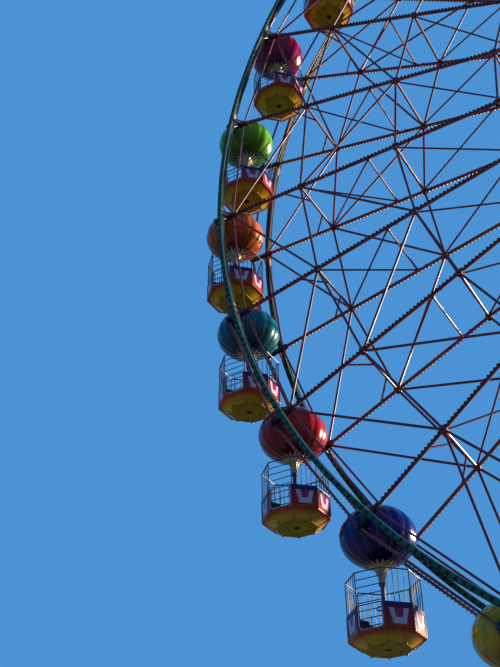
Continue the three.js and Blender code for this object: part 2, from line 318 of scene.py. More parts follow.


# Paint, gelcoat or worked metal. Its three colours are the skin, its faded patches and its dirt. The
# sizes in mm are those of the patches, the dirt and the fine relief. The gloss is the clean skin's
# roughness and what dirt adds. The relief has a strength and a depth in mm. The runs stretch the dirt.
# The height blend mixes a colour in between two heights of the piece: from, to, its share at the end and its
# colour. On the panels, trims and bowl it is sprayed paint; on the balloons and their seams it is painted
# shade that darkens them towards the underside.
# The IOR is that of paint, resin and acrylic; 1.5 is also Blender's own, so that the metals keep theirs.
def coated(name, colours, sizes, gloss, relief, dirtFrom=0.52, runs=(1, 1, 1), sprayAndShade=None, ior=1.5, **sockets):
    material = bpy.data.materials.new(name)
    material.use_nodes = True
    tree = material.node_tree
    tree.nodes.clear()
    skin, faded, dirty = (linear(code) for code in colours.split())
    shader = addNode(tree, "ShaderNodeBsdfPrincipled", {"IOR": ior, **sockets})
    addNode(tree, "ShaderNodeOutputMaterial", {"Surface": shader.outputs["BSDF"]})
    place = addNode(tree, "ShaderNodeTexCoord").outputs["Object"]
    run = addNode(tree, "ShaderNodeMapping", {"Vector": place, "Scale": runs}).outputs["Vector"]
    patch, dirt, grain = (
        addNode(tree, "ShaderNodeTexNoise", {"Vector": where, "Scale": 1000 / size, "Detail": detail})
        for where, size, detail in zip((place, run, place), sizes, (3.0, 5.0, 2.0)))
    worn = addNode(tree, "ShaderNodeMapRange", {"Value": patch.outputs["Fac"], "From Min": wear["fadeFrom"],
                                                "From Max": wear["fadeTo"]}, clamp=True)
    soil = addNode(tree, "ShaderNodeMapRange", {"Value": dirt.outputs["Fac"], "From Min": dirtFrom,
                                                "From Max": wear["dirtTo"]}, clamp=True)
    base = addNode(tree, "ShaderNodeMix", {"Factor": worn.outputs["Result"], 6: skin, 7: faded},
                   data_type="RGBA")
    # the height blend: sprayed paint on the panels, trims and bowl, painted shade towards the underside on
    # the balloons
    if sprayAndShade:
        start, end, share, over = sprayAndShade
        height = addNode(tree, "ShaderNodeSeparateXYZ", {"Vector": place}).outputs["Z"]
        sprayAndShadeShare = addNode(tree, "ShaderNodeMapRange",
                        {"Value": height, "From Min": start, "From Max": end, "To Max": share}, clamp=True)
        base = addNode(tree, "ShaderNodeMix", {"Factor": sprayAndShadeShare.outputs["Result"], 6: base.outputs[2],
                                               7: linear(over)}, data_type="RGBA")
    base = addNode(tree, "ShaderNodeMix", {"Factor": soil.outputs["Result"], 6: base.outputs[2], 7: dirty},
                   data_type="RGBA")
    rough = addNode(tree, "ShaderNodeMapRange",
                    {"Value": soil.outputs["Result"], "To Min": gloss[0], "To Max": gloss[0] + gloss[1]})
    bump = addNode(tree, "ShaderNodeBump", {"Height": grain.outputs["Fac"], "Strength": relief[0],
                                            "Distance": relief[1] / 1000})
    tree.links.new(base.outputs[2], shader.inputs["Base Color"])
    tree.links.new(rough.outputs["Result"], shader.inputs["Roughness"])
    tree.links.new(bump.outputs["Normal"], shader.inputs["Normal"])
    return material


glossCoat = {"Specular IOR Level": 0.3, "Coat Weight": 0.12, "Coat Roughness": 0.08}
balloonCoat = {"Specular IOR Level": 0.3, "Coat Weight": 0.25, "Coat Roughness": 0.06}
brightSkin = {"Specular IOR Level": 0.8}     # brushed enamel that catches the sun along a tube
# brushed alkyd enamel on welded tube: chalky brown-red, with sun-faded and grimy patches
redTubeEnamel = coated("redTubeEnamel", "6e2024 8a3c38 1e1216", (900, 240, 30), (0.44, 0.22), (0.25, 2),
                       **brightSkin)
# the same enamel, deeper and newer, on the braces
braceEnamel = coated("braceEnamel", "661822 7e2c32 1c0e16", (1400, 300, 30), (0.42, 0.22), (0.2, 2),
                     **brightSkin)
# bottle-green enamel on the rolled rim beam: nearly black where the light doesn't reach
greenRimEnamel = coated("greenRimEnamel", "1c3226 31463a 0a120e", (700, 180, 25), (0.34, 0.25), (0.2, 2))
# pale grey on the inner lips of the rim and the inner splice plates: a painted highlight, the thin light line
# where the sun catches the hub-side edges
paintedHighlightLip = coated("paintedHighlightLip", "8d8c7c a9a693 4a4a3c", (500, 160, 25), (0.4, 0.2), (0.2, 2))
# dark navy enamel on flame-cut plate: the brackets, with a slightly wavy skin
navyPlateEnamel = coated("navyPlateEnamel", "10121c 1c1f2c 090a0d", (260, 90, 18), (0.4, 0.3), (0.3, 1.5))
# black enamel on the pressed lamp seats: a flat dark frame round each tile
lampSeatEnamel = coated("lampSeatEnamel", "090c0c 101514 050606", (500, 120, 20), (0.45, 0.2), (0.2, 1))
# smoked polycarbonate, moulded lamp caps: dark, with a broad dull highlight
smokedPolycarbonate = coated("smokedPolycarbonate", "0d1f25 14292e 20241f", (220, 60, 12), (0.5, 0.3),
                             (0.15, 0.6), dirtFrom=0.6, ior=1.58)
# green acrylic, cast lamp tiles on the rim: glossy, deeper green where dirty
greenAcrylicTile = coated("greenAcrylicTile", "0a5a3c 0f6b49 062a1f", (320, 110, 18), (0.16, 0.25),
                          (0.2, 0.8), dirtFrom=0.48, ior=1.49)
# hot-dip galvanised steel: grey, its spangle drawn coarser than real so that it shows
galvanisedSteel = coated("galvanisedSteel", "8b9094 a3a8aa 62625f", (60, 200, 20), (0.42, 0.2), (0.2, 1),
                         Metallic=0.85)
# zinc-plated steel bolts: dull silver with brown dirt
zincBolt = coated("zincBolt", "777a78 938f84 413c37", (30, 25, 6), (0.35, 0.3), (0.2, 0.4), Metallic=0.9)
# turned and oiled steel on the axle: dark smears
machinedSteel = coated("machinedSteel", "7b7f83 8f9295 3b3834", (120, 80, 5), (0.28, 0.3), (0.2, 0.3),
                       Metallic=1.0)
# white two-pack enamel on the A-frames, sprayed: clean gloss with faint grey streaks down it
whiteFrameEnamel = coated("whiteFrameEnamel", "dfdfdc cfd0ce 8a877e", (1600, 420, 40), (0.32, 0.3), (0.2, 2),
                          dirtFrom=0.58, runs=(1, 1, 0.25), **{"Coat Weight": 0.2, "Coat Roughness": 0.1})
# grey enamel on the ground beams: scuffed
greyBaseEnamel = coated("greyBaseEnamel", "5d6266 74787a 363430", (800, 260, 30), (0.45, 0.3), (0.25, 2))

# sprayed yellow gelcoat of the bowl: deep gloss under dust, shaded to rust at its upper edge
yellowBowlGelcoat = coated("yellowBowlGelcoat", "a5850c b3950f 6c5a12", (700, 320, 30), (0.24, 0.3),
                           (0.12, 1), dirtFrom=0.56, sprayAndShade=(-2.2, -2.09, 0.95, "7c2c0e"), **glossCoat)
# the same yellow on the tub's floor, darkened to olive as painted shade of the downward-facing underside,
# with dirt patches over it
paintedShadeFloorGelcoat = coated("paintedShadeFloorGelcoat", "83730c 928010 473c0c", (420, 160, 30), (0.6, 0.25),
                           (0.12, 1), **{"Specular IOR Level": 0.12})
# sprayed enamel of the panels: plum red that runs into orange near the foot
redPanelEnamel = coated("redPanelEnamel", "62104a 741a4c 2c0c24", (300, 120, 22), (0.22, 0.3), (0.15, 0.8),
                        sprayAndShade=(-1.75, -2.04, 0.95, "a83c10"), **glossCoat)
# sprayed enamel of the trims: rust orange that deepens to plum towards the rail
orangeTrimEnamel = coated("orangeTrimEnamel", "9c3216 b04a1e 4c1a14", (260, 90, 16), (0.28, 0.3), (0.15, 0.8),
                          sprayAndShade=(-2.02, -1.62, 0.95, "5e0f3c"), **glossCoat)
# the flat plates on the panels, sprayed off-white, magenta and violet: glossy, with a little grime
plateCoat = {"sizes": (300, 110, 22), "gloss": (0.24, 0.3), "relief": (0.15, 0.8), "dirtFrom": 0.58,
             **glossCoat}
whitePanelEnamel = coated("whitePanelEnamel", "b9b5c4 a8a1ae 6c626c", **plateCoat)
magentaPanelEnamel = coated("magentaPanelEnamel", "8c1450 982a5c 3f142e", **plateCoat)
violetBandEnamel = coated("violetBandEnamel", "1a174c 272360 100e26", **plateCoat)
# blue-grey enamel on the cage's bars, brushed: dark, rubbed paler in patches
cageBarEnamel = coated("cageBarEnamel", "2b2d40 44475c 1a1a24", (160, 60, 12), (0.36, 0.25), (0.15, 0.4))
# black vinyl stretched over foam: soft sheen
darkSeatVinyl = coated("darkSeatVinyl", "1b1c22 282a31 101114", (160, 70, 3), (0.5, 0.2), (0.3, 0.5))
# rolled grey floor paint inside the tub: flat and stained
greyLiningPaint = coated("greyLiningPaint", "34373d 43464c 202024", (240, 90, 14), (0.5, 0.25), (0.25, 0.8))
# moulded rubber: matt black
blackRubber = coated("blackRubber", "101010 1a1a1a 262420", (60, 30, 6), (0.7, 0.15), (0.2, 0.4))
# moulded acrylic lamp cups at the corners of the bowl: dull amber-grey
lampCupAcrylic = coated("lampCupAcrylic", "5f5b4c 77725e 37342c", (60, 40, 8), (0.14, 0.3), (0.15, 0.4),
                        ior=1.49)
# cream gelcoat of the trumpet, with brown run-off down its flutes
creamTrumpetGelcoat = coated("creamTrumpetGelcoat", "a99a78 c0b292 5c3a22", (160, 90, 25), (0.22, 0.3),
                             (0.15, 1), dirtFrom=0.45, runs=(1, 1, 0.12), **glossCoat)

# moulded fibreglass balloon skins, each with its seam's colour: deep gloss, darker where rain has run, a
# faint orange peel, and painted shade that darkens skin and seam from the middle down to the underside
balloonLooks = {
    "yellow": ("b28f0a c8a914 4c430c", "8a7410"),
    "magenta": ("850c4a 9c1a5e 2c0822", "b04a84"),
    "green": ("4a8c0c 6cac16 163606", "3f9c30"),
    "orange": ("a8480a c4680f 4a1c04", "843a0a"),
    "teal": ("08505c 0f6674 04222c", "4a98a6"),
    "red": ("8e0f12 a41e1e 360808", "c05850"),
    "blue": ("0c0b5c 161878 05062a", "6468aa"),
}
colourOrder = list(balloonLooks)
balloonMaterials, seamMaterials = {}, {}
for label, (skin, seam) in balloonLooks.items():
    patch, stain = skin.split()[1:]
    # the height blend to the stain colour below the middle is painted shade on the underside; the dirt
    # patches are the real stain
    balloonMaterials[label] = coated(label + "BalloonGelcoat", skin, (520, 170, 18), (0.2, 0.22), (0.12, 0.8),
                                     runs=(1, 1, 0.2), sprayAndShade=(0.05, -0.5, 0.8, stain), **balloonCoat)
    seamMaterials[label] = coated(label + "SeamGelcoat", f"{seam} {patch} {stain}", (180, 90, 14),
                                  (0.25, 0.25), (0.1, 0.5), sprayAndShade=(0.05, -0.5, 0.6, stain))
print("materials made")


stations = [k * stationStep for k in range(stationCount)]
planes = (("front", -1), ("rear", 1))


def inBothPlanes(build, stage):
    for name, sign in planes:
        build(name, sign)
    print(stage, "made")


rimLook = {
    "inner": 16.13, "outer": 16.245,     # radii
    "near": 1.25, "far": 1.40,           # distances from the wheel's middle plane
    "segments": 280,
    "tilesPerBay": 18,
    "tile": (0.046, 0.068, 0.007),       # half along the radius, half along the rim, thickness
    "seatMargin": (0.007, 0.031),        # how far the black seat reaches past the tile
    "edge": 0.006,
    "innerLip": 0.014, "outerLip": 0.009,
    "splice": (0.05, 0.13, 0.008),       # half across, half along, thickness
    "spliceBolts": [(a, b) for a in (-0.035, 0.035) for b in (-0.09, -0.045, 0.045, 0.09)],
}


def buildRim(name, sign):
    look = rimLook
    mesh = newMesh()
    inner, outer, near, far, edge = (look[k] for k in ("inner", "outer", "near", "far", "edge"))
    body = [(inner + edge, near), (outer - edge, near), (outer, near + edge), (outer, far - edge),
            (outer - edge, far), (inner + edge, far), (inner, far - edge), (inner, near + edge)]
    addPart(mesh, swept([(r, sign * y) for r, y in (body if sign > 0 else body[::-1])], look["segments"]), 0)
    # lips along the edges of both faces; the inner ones carry the pale painted highlight
    for y in (near, far):
        for r, radius, slot in ((inner + 0.002, look["innerLip"], 1), (outer - 0.002, look["outerLip"], 0)):
            lip = [(r + radius * math.cos(a), sign * y + radius * math.sin(a))
                   for a in np.linspace(0, 2 * math.pi, 6, endpoint=False)]
            addPart(mesh, swept(lip, look["segments"]), slot)
    # splice plates with bolts at each station; those on the inner face carry the pale painted highlight
    across, along, spliceThick = look["splice"]
    splice = plate(rounded(across, along, 0.01), 0, spliceThick, 0.002)
    bolt = turned([(0, 0), (0.011, 0), (0.010, 0.008), (0, 0.009)], 6)
    middle = (inner + outer) / 2
    for t in stations:
        for r, face in ((inner, -1), (outer, 1)):
            centre = wheelPoint(t, r, sign * (near + far) / 2)
            matrix = placement(centre, (0, 1, 0), outward(t) * face)
            addPart(mesh, splice, 1 if face < 0 else 0, matrix)
            for a, b in look["spliceBolts"]:
                spot = centre + np.array((0, a, 0)) + sideways(t) * b + outward(t) * face * spliceThick
                setPart(mesh, bolt, 2, spot, sideways(t), outward(t) * face)
        block = plate(rounded(0.05, 0.055, 0.008), -0.02, 0.004, 0.002)
        setPart(mesh, block, 0, wheelPoint(t, middle, sign * near), outward(t), (0, -sign, 0))
    makeObject(name + "RimBeam", mesh, [greenRimEnamel, paintedHighlightLip, zincBolt], "wheel", [name + "_rim"])

    tiles = newMesh()
    halfR, halfT, thick = look["tile"]
    tile = plate(rounded(halfR, halfT, 0.014, 1), 0, thick, 0.003)
    marginR, marginT = look["seatMargin"]
    reachR, reachT = halfR + marginR, halfT + marginT
    seat = plate(oblong(-reachR, reachR, -reachT, reachT), -0.002, 0.0035)
    step = stationStep / look["tilesPerBay"]
    for i in range(stationCount * look["tilesPerBay"]):
        t = (i + 0.5) * step
        for y, face in ((near, -sign), (far, sign)):
            matrix = placement(wheelPoint(t, middle, sign * y), outward(t), (0, face, 0))
            addPart(tiles, seat, 1, matrix)
            addPart(tiles, tile, 0, matrix)
    makeObject(name + "RimLampTiles", tiles, [greenAcrylicTile, lampSeatEnamel], "wheel", sharp=40)


inBothPlanes(buildRim, "rims")


spokeLook = {
    "radius": 0.042, "foot": 0.98, "tip": 15.98,
    "flanges": (4.76, 8.46, 11.55),      # where the tubes are spliced
    "strip": (0.018, 0.008),             # half width and thickness of the lamp strip
    "lampPitch": 0.105, "lampsFrom": 1.6, "lampsTo": 15.8,
    "flangeRadius": 0.066, "flangeCircle": 0.054,
    "discRadius": 1.06, "discHalf": 0.03, "discBolts": 56, "discCircle": 0.86,
}
spokeCap = turned([(0, -0.003), (0.031, -0.003), (0.027, 0.034), (0, 0.052)], 6)
chordCap = turned([(0, -0.003), (0.0185, -0.003), (0.015, 0.016), (0, 0.024)], 6)


# a row of lamp caps from start to end on a surface that faces the given way
def lampRow(mesh, start, end, facing, cap, pitch):
    start, end = np.asarray(start), np.asarray(end)
    length = np.linalg.norm(end - start)
    along = (end - start) / length
    count = max(1, int(length / pitch))
    for i in range(count):
        setPart(mesh, cap, 0, start + along * (length * (i + 0.5) / count), along, facing)


def buildSpokes(name, sign):
    look = spokeLook
    mesh, lamps = newMesh(), newMesh()
    y = sign * wheel["plane"]
    face = y + sign * look["radius"]
    half, thick = look["strip"]
    flange, bolt = drum(look["flangeRadius"], -0.012, 0.012, 16), drum(0.008, -0.02, 0.02, 6)
    circle = look["flangeCircle"]
    for t in stations:
        tube(mesh, wheelPoint(t, look["foot"], y), wheelPoint(t, look["tip"], y), look["radius"], 16, 0)
        for r in look["flanges"]:
            setPart(mesh, flange, 0, wheelPoint(t, r, y), (0, 1, 0), outward(t))
            for a in turnAngle(np.arange(6) + 0.5, 6):
                spot = wheelPoint(t, r, y + circle * math.cos(a), circle * math.sin(a))
                setPart(mesh, bolt, 1, spot, (0, 1, 0), outward(t))
        reach = (look["lampsTo"] - look["lampsFrom"]) / 2
        strip = plate(oblong(-reach, reach, -half, half), -0.004, thick, 0.003)
        centre = wheelPoint(t, look["lampsFrom"] + reach, face)
        setPart(mesh, strip, 0, centre, outward(t), (0, sign, 0))
        lift = sign * thick * 0.85
        lampRow(lamps, wheelPoint(t, look["lampsFrom"], face + lift),
                wheelPoint(t, look["lampsTo"], face + lift), (0, sign, 0), spokeCap, look["lampPitch"])
    # the hub disc with its ring of bolts
    deep = look["discHalf"]
    disc = drum(look["discRadius"], -deep, deep, 84)
    setPart(mesh, disc, 0, (0, y, hubHeight), (1, 0, 0), (0, sign, 0))
    ring = turned([(1.0, deep), (1.0, 0.05), (0.94, 0.05), (0.94, deep)], 84)
    head = drum(0.022, deep, 0.046, 6)
    for face in (-1, 1):
        setPart(mesh, ring, 0, (0, y, hubHeight), (1, 0, 0), (0, face, 0))
        for a in turnAngle(np.arange(look["discBolts"]) + 0.5, look["discBolts"]):
            setPart(mesh, head, 1, wheelPoint(a, look["discCircle"], y), outward(a), (0, face, 0))
    # sockets that clasp each spoke's foot
    clasp = plate([(-0.075, 0), (0.075, 0), (0.05, 0.55), (-0.05, 0.55)], -0.055, 0.055, 0.006)
    for t in stations:
        setPart(mesh, clasp, 0, wheelPoint(t, 0.95, y), sideways(t), (0, -1, 0))
    makeObject(name + "SpokeTubes", mesh, [redTubeEnamel, zincBolt], "wheel", [name + "_spokes"])
    makeObject(name + "SpokeLamps", lamps, [smokedPolycarbonate], "wheel", sharp=50)


inBothPlanes(buildSpokes, "spokes")


bracketLook = {
    "inner": 15.88, "thickness": 0.014, "gap": 0.046,
    "tubeRadius": 0.03, "lampPitch": 0.105, "lampMargin": 0.12,
    "outriggerRadius": 0.032, "braceReach": 0.30,
    "bolts": [(side * x, z) for x, z in ((0.038, 0.09), (0.03, 0.2), (0.03, 0.47)) for side in (-1, 1)],
}


def buildBrackets(name, sign):
    look = bracketLook
    mesh, lamps = newMesh(), newMesh()
    y = sign * wheel["plane"]
    # two cheek plates a station, narrow at the waist, with the pin's housing between them
    side = [(0.040, 0), (0.060, 0.09), (0.044, 0.34), (0.056, 0.58), (0.060, 0.67), (0.040, 0.72)]
    cheek = side + [(-x, z) for x, z in side[::-1]]
    bolt = boltHead(0.012, 0.009, 0, 0.009, 0.012)
    thick = look["thickness"] / 2
    boss = turned([(0, -0.075), (0.06, -0.075), (0.068, -0.06), (0.068, 0.06), (0.06, 0.075), (0, 0.075)], 20)
    middle = (rimLook["inner"] + rimLook["outer"]) / 2
    for t in stations:
        for face in (-1, 1):
            outer = y + face * look["gap"]
            setPart(mesh, plate(cheek, -thick, thick, 0.003), 0, wheelPoint(t, look["inner"], outer),
                    -sideways(t), (0, -1, 0))
            for x, z in look["bolts"]:
                spot = wheelPoint(t, look["inner"] + z, outer + face * thick, x)
                setPart(mesh, bolt, 1, spot, outward(t), (0, face, 0))
        setPart(mesh, boss, 0, wheelPoint(t, wheel["pivot"], y), outward(t), (0, 1, 0))
        web = plate(rounded(0.046, 0.28, 0.01, 1), -0.01, 0.01)
        setPart(mesh, web, 0, wheelPoint(t, look["inner"] + 0.33, y), (0, 1, 0), sideways(t))
        # outrigger that carries the rim, with a brace below it and one to each side
        root, end = y + sign * look["gap"], sign * rimLook["near"]
        tube(mesh, wheelPoint(t, middle, root), wheelPoint(t, middle, end), look["outriggerRadius"], 12, 2)
        tube(mesh, wheelPoint(t, look["inner"] + 0.04, root),
             wheelPoint(t, rimLook["inner"] + 0.01, end - sign * 0.01), 0.018, 8, 2)
        for hand in (-1, 1):
            tube(mesh, wheelPoint(t, middle, root, hand * 0.04),
                 wheelPoint(t, middle, end - sign * 0.004, hand * look["braceReach"]), 0.014, 8, 2)
        # straight outer tube to the next station with its lamps, which face away from the hub
        start, stop = wheelPoint(t, wheel["chord"], y), wheelPoint(t + stationStep, wheel["chord"], y)
        tube(mesh, start, stop, look["tubeRadius"], 12, 2)
        away, along = outward(t + stationStep / 2), unit(stop - start)
        lift, margin = away * look["tubeRadius"] * 0.96, along * look["lampMargin"]
        lampRow(lamps, start + margin + lift, stop - margin + lift, away, chordCap, look["lampPitch"])
    makeObject(name + "Brackets", mesh, [navyPlateEnamel, zincBolt, redTubeEnamel], "wheel",
               [name + "_bracket_ring"])
    makeObject(name + "ChordLamps", lamps, [lampCupAcrylic], "wheel", sharp=50)


inBothPlanes(buildBrackets, "brackets")


braceLook = {
    "ring": 0.03, "nodeRing": 0.026, "zigzag": 0.03, "tie": 0.036, "thinTie": 0.026, "cross": 0.023,
    "knee": (0.5, 0.33),                 # up the spoke in metres and along the tie as a share
}


# rings and zigzags of one plane; the zigzags meet the outer ring of their level at the odd stations
def buildBraces(name, sign):
    look = braceLook
    mesh = newMesh()
    y = sign * wheel["plane"]
    rings = ((wheel["node"], look["nodeRing"]), (wheel["outerTie"], look["ring"]),
             (wheel["middleTie"], look["ring"]), (wheel["innerTie"], look["ring"]))
    levels = ((wheel["node"], wheel["outerTie"]), (wheel["outerTie"], wheel["middleTie"]))
    gusset = plate([(x * side, z * side) for side in (1, -1) for x, z in
                    ((-0.10, -0.025), (-0.06, -0.075), (0.06, -0.075), (0.10, -0.025))], -0.005, 0.005, 0.002)
    bolt = boltHead(0.01, 0.007, 0.003, 0.011, 0.013)
    for k, t in enumerate(stations):
        nextT = t + stationStep
        for r, radius in rings:
            tube(mesh, wheelPoint(t, r, y), wheelPoint(nextT, r, y), radius, 12, 0)
        for level in levels:
            here, there = level if k % 2 else level[::-1]
            tube(mesh, wheelPoint(t, here, y), wheelPoint(nextT, there, y), look["zigzag"], 12, 0)
        for r, _ in rings[1:]:
            for face in (-1, 1):
                setPart(mesh, gusset, 1, wheelPoint(t, r, y + face * 0.042), sideways(t), (0, face, 0))
                if face * sign < 0:
                    for a, b in ((-0.065, 0.035), (0.065, 0.035), (-0.065, -0.035), (0.065, -0.035)):
                        spot = wheelPoint(t, r + b, y + face * 0.044, a)
                        setPart(mesh, bolt, 2, spot, outward(t), (0, face, 0))
    makeObject(name + "PlaneBraces", mesh, [braceEnamel, redTubeEnamel, zincBolt], "wheel",
               [name + "_node_ring", name + "_outer_braces", name + "_middle_braces"])


# ties from plane to plane at four radii, two crossed braces in each of the two deep bays, and knees
def buildTies():
    look = braceLook
    mesh = newMesh()
    y = wheel["plane"]
    boot = turned([(0, 0), (0.052, 0), (0.052, 0.012), (0.04, 0.02), (0.038, 0.07), (0, 0.07)], 12)
    for t in stations:
        for r, radius in ((wheel["outerTie"], look["tie"]), (wheel["lowerTie"], look["thinTie"]),
                          (wheel["middleTie"], look["tie"]), (wheel["innerTie"], look["thinTie"])):
            tube(mesh, wheelPoint(t, r, -y), wheelPoint(t, r, y), radius, 12, 0)
            for sign in (-1, 1):
                setPart(mesh, boot, 1, wheelPoint(t, r, sign * (y - 0.04)), outward(t), (0, -sign, 0))
        for sign in (-1, 1):
            for outer, inner in ((wheel["outerTie"], wheel["lowerTie"]),
                                 (wheel["middleTie"], wheel["innerTie"])):
                tube(mesh, wheelPoint(t, outer - 0.02, sign * (y - 0.06)),
                     wheelPoint(t, inner + 0.02, -sign * (y - 0.06)), look["cross"], 10, 0)
            up, share = look["knee"]
            tube(mesh, wheelPoint(t, wheel["outerTie"] + up, sign * (y - 0.02)),
                 wheelPoint(t, wheel["outerTie"], sign * y * share), look["cross"], 10, 0)
    makeObject("crossTies", mesh, [braceEnamel, redTubeEnamel], "wheel", ["outer_tie_drum", "inner_tie_drum"])


inBothPlanes(buildBraces, "braces")
buildTies()
print("ties made")


hubLook = {"barrel": 0.46, "sleeve": 0.30, "axle": 0.26, "reach": 2.15, "ribs": 16, "bolts": 12}


def buildHub():
    look = hubLook
    mesh = newMesh()
    plane = wheel["plane"]
    inner = plane - 0.045
    barrel, wide, shaft = look["barrel"], look["sleeve"], look["axle"]
    half = [(barrel + 0.02, 0.03), (barrel, 0.05), (barrel, inner - 0.05), (barrel + 0.07, inner - 0.04),
            (barrel + 0.07, inner), (0, inner)]
    profile = [(r, -z) for r, z in half[::-1]] + half
    matrix = placement((0, 0, hubHeight), (1, 0, 0), (0, 1, 0))
    addPart(mesh, turned(profile, 64), 0, matrix)
    bolt = drum(0.02, 0, 0.016, 6)
    rib = plate([(0.44, 0.6), (0.66, 0.91), (0.44, 0.91)], -0.012, 0.012)
    for a in turnAngle(np.arange(look["ribs"]), look["ribs"]):
        for sign in (-1, 1):
            place = placement((0, 0, hubHeight), outward(a), np.cross(outward(a), (0, sign, 0)))
            addPart(mesh, rib, 0, place)
            spot = wheelPoint(a + 0.2, barrel + 0.035, sign * (inner - 0.04))
            setPart(mesh, bolt, 2, spot, outward(a), (0, -sign, 0))
    for sign in (-1, 1):
        face = placement((0, sign * (plane + 0.03), hubHeight), (1, 0, 0), (0, sign, 0))
        sleeve = [(0, 0), (wide + 0.1, 0), (wide + 0.1, 0.03), (wide + 0.01, 0.045), (wide, 0.06),
                  (wide, 0.17), (shaft + 0.01, 0.18), (shaft, 0.185), (0, 0.185)]
        addPart(mesh, turned(sleeve, 48), 0, face)
        for a in turnAngle(np.arange(look["bolts"]) + 0.5, look["bolts"]):
            spot = wheelPoint(a, wide + 0.06, sign * (plane + 0.06))
            setPart(mesh, bolt, 2, spot, outward(a), (0, sign, 0))
        start, end = plane + 0.2, look["reach"]
        axle = [(0, 0), (shaft - 0.004, 0), (shaft - 0.004, end - start - 0.02), (shaft - 0.02, end - start),
                (0, end - start)]
        setPart(mesh, turned(axle, 48), 1, (0, sign * start, hubHeight), (1, 0, 0), (0, sign, 0))
    makeObject("hubAndAxle", mesh, [redTubeEnamel, machinedSteel, zincBolt], "wheel", ["hub_axle"])


buildHub()
print("hub made")


supportLook = {
    "headTop": 22.05, "headLow": 20.5, "headInner": 1.5, "headOuter": 1.95, "headHalf": 0.8,
    "legBase": (9.0, 4.3), "legTop": (0.48, 1.725), "legSizes": (0.52, 0.38),
    "beamHeight": 0.36, "beamHalf": 0.31,
    "coverBolts": 12, "coverCircle": 0.45,
    "flanges": (0.005, 0.33, 0.66, 0.988),     # shares of the leg's length
    "ladderHalf": 0.17, "rungPitch": 0.35,
    "tieLow": 9.39, "tieMiddle": 9.5, "tieHigh": 9.61, "tieHalf": 0.065, "tieTube": 0.032, "tieBays": 26,
}


# a tapered box leg between two points, with chamfered corners
def boxMember(mesh, low, high, sizes, slot=0, chamfer=0.03):
    shape = rounded(0.5, 0.5, chamfer / max(sizes), 1)
    low, high = np.asarray(low, float), np.asarray(high, float)
    count = len(shape)
    points = [low + np.array((x * sizes[0], z * sizes[0], 0)) for x, z in shape]
    points += [high + np.array((x * sizes[1], z * sizes[1], 0)) for x, z in shape]
    faces = [list(range(count))[::-1], [count + i for i in range(count)]]
    addPart(mesh, (points, faces + quads(0, count, count)), slot)


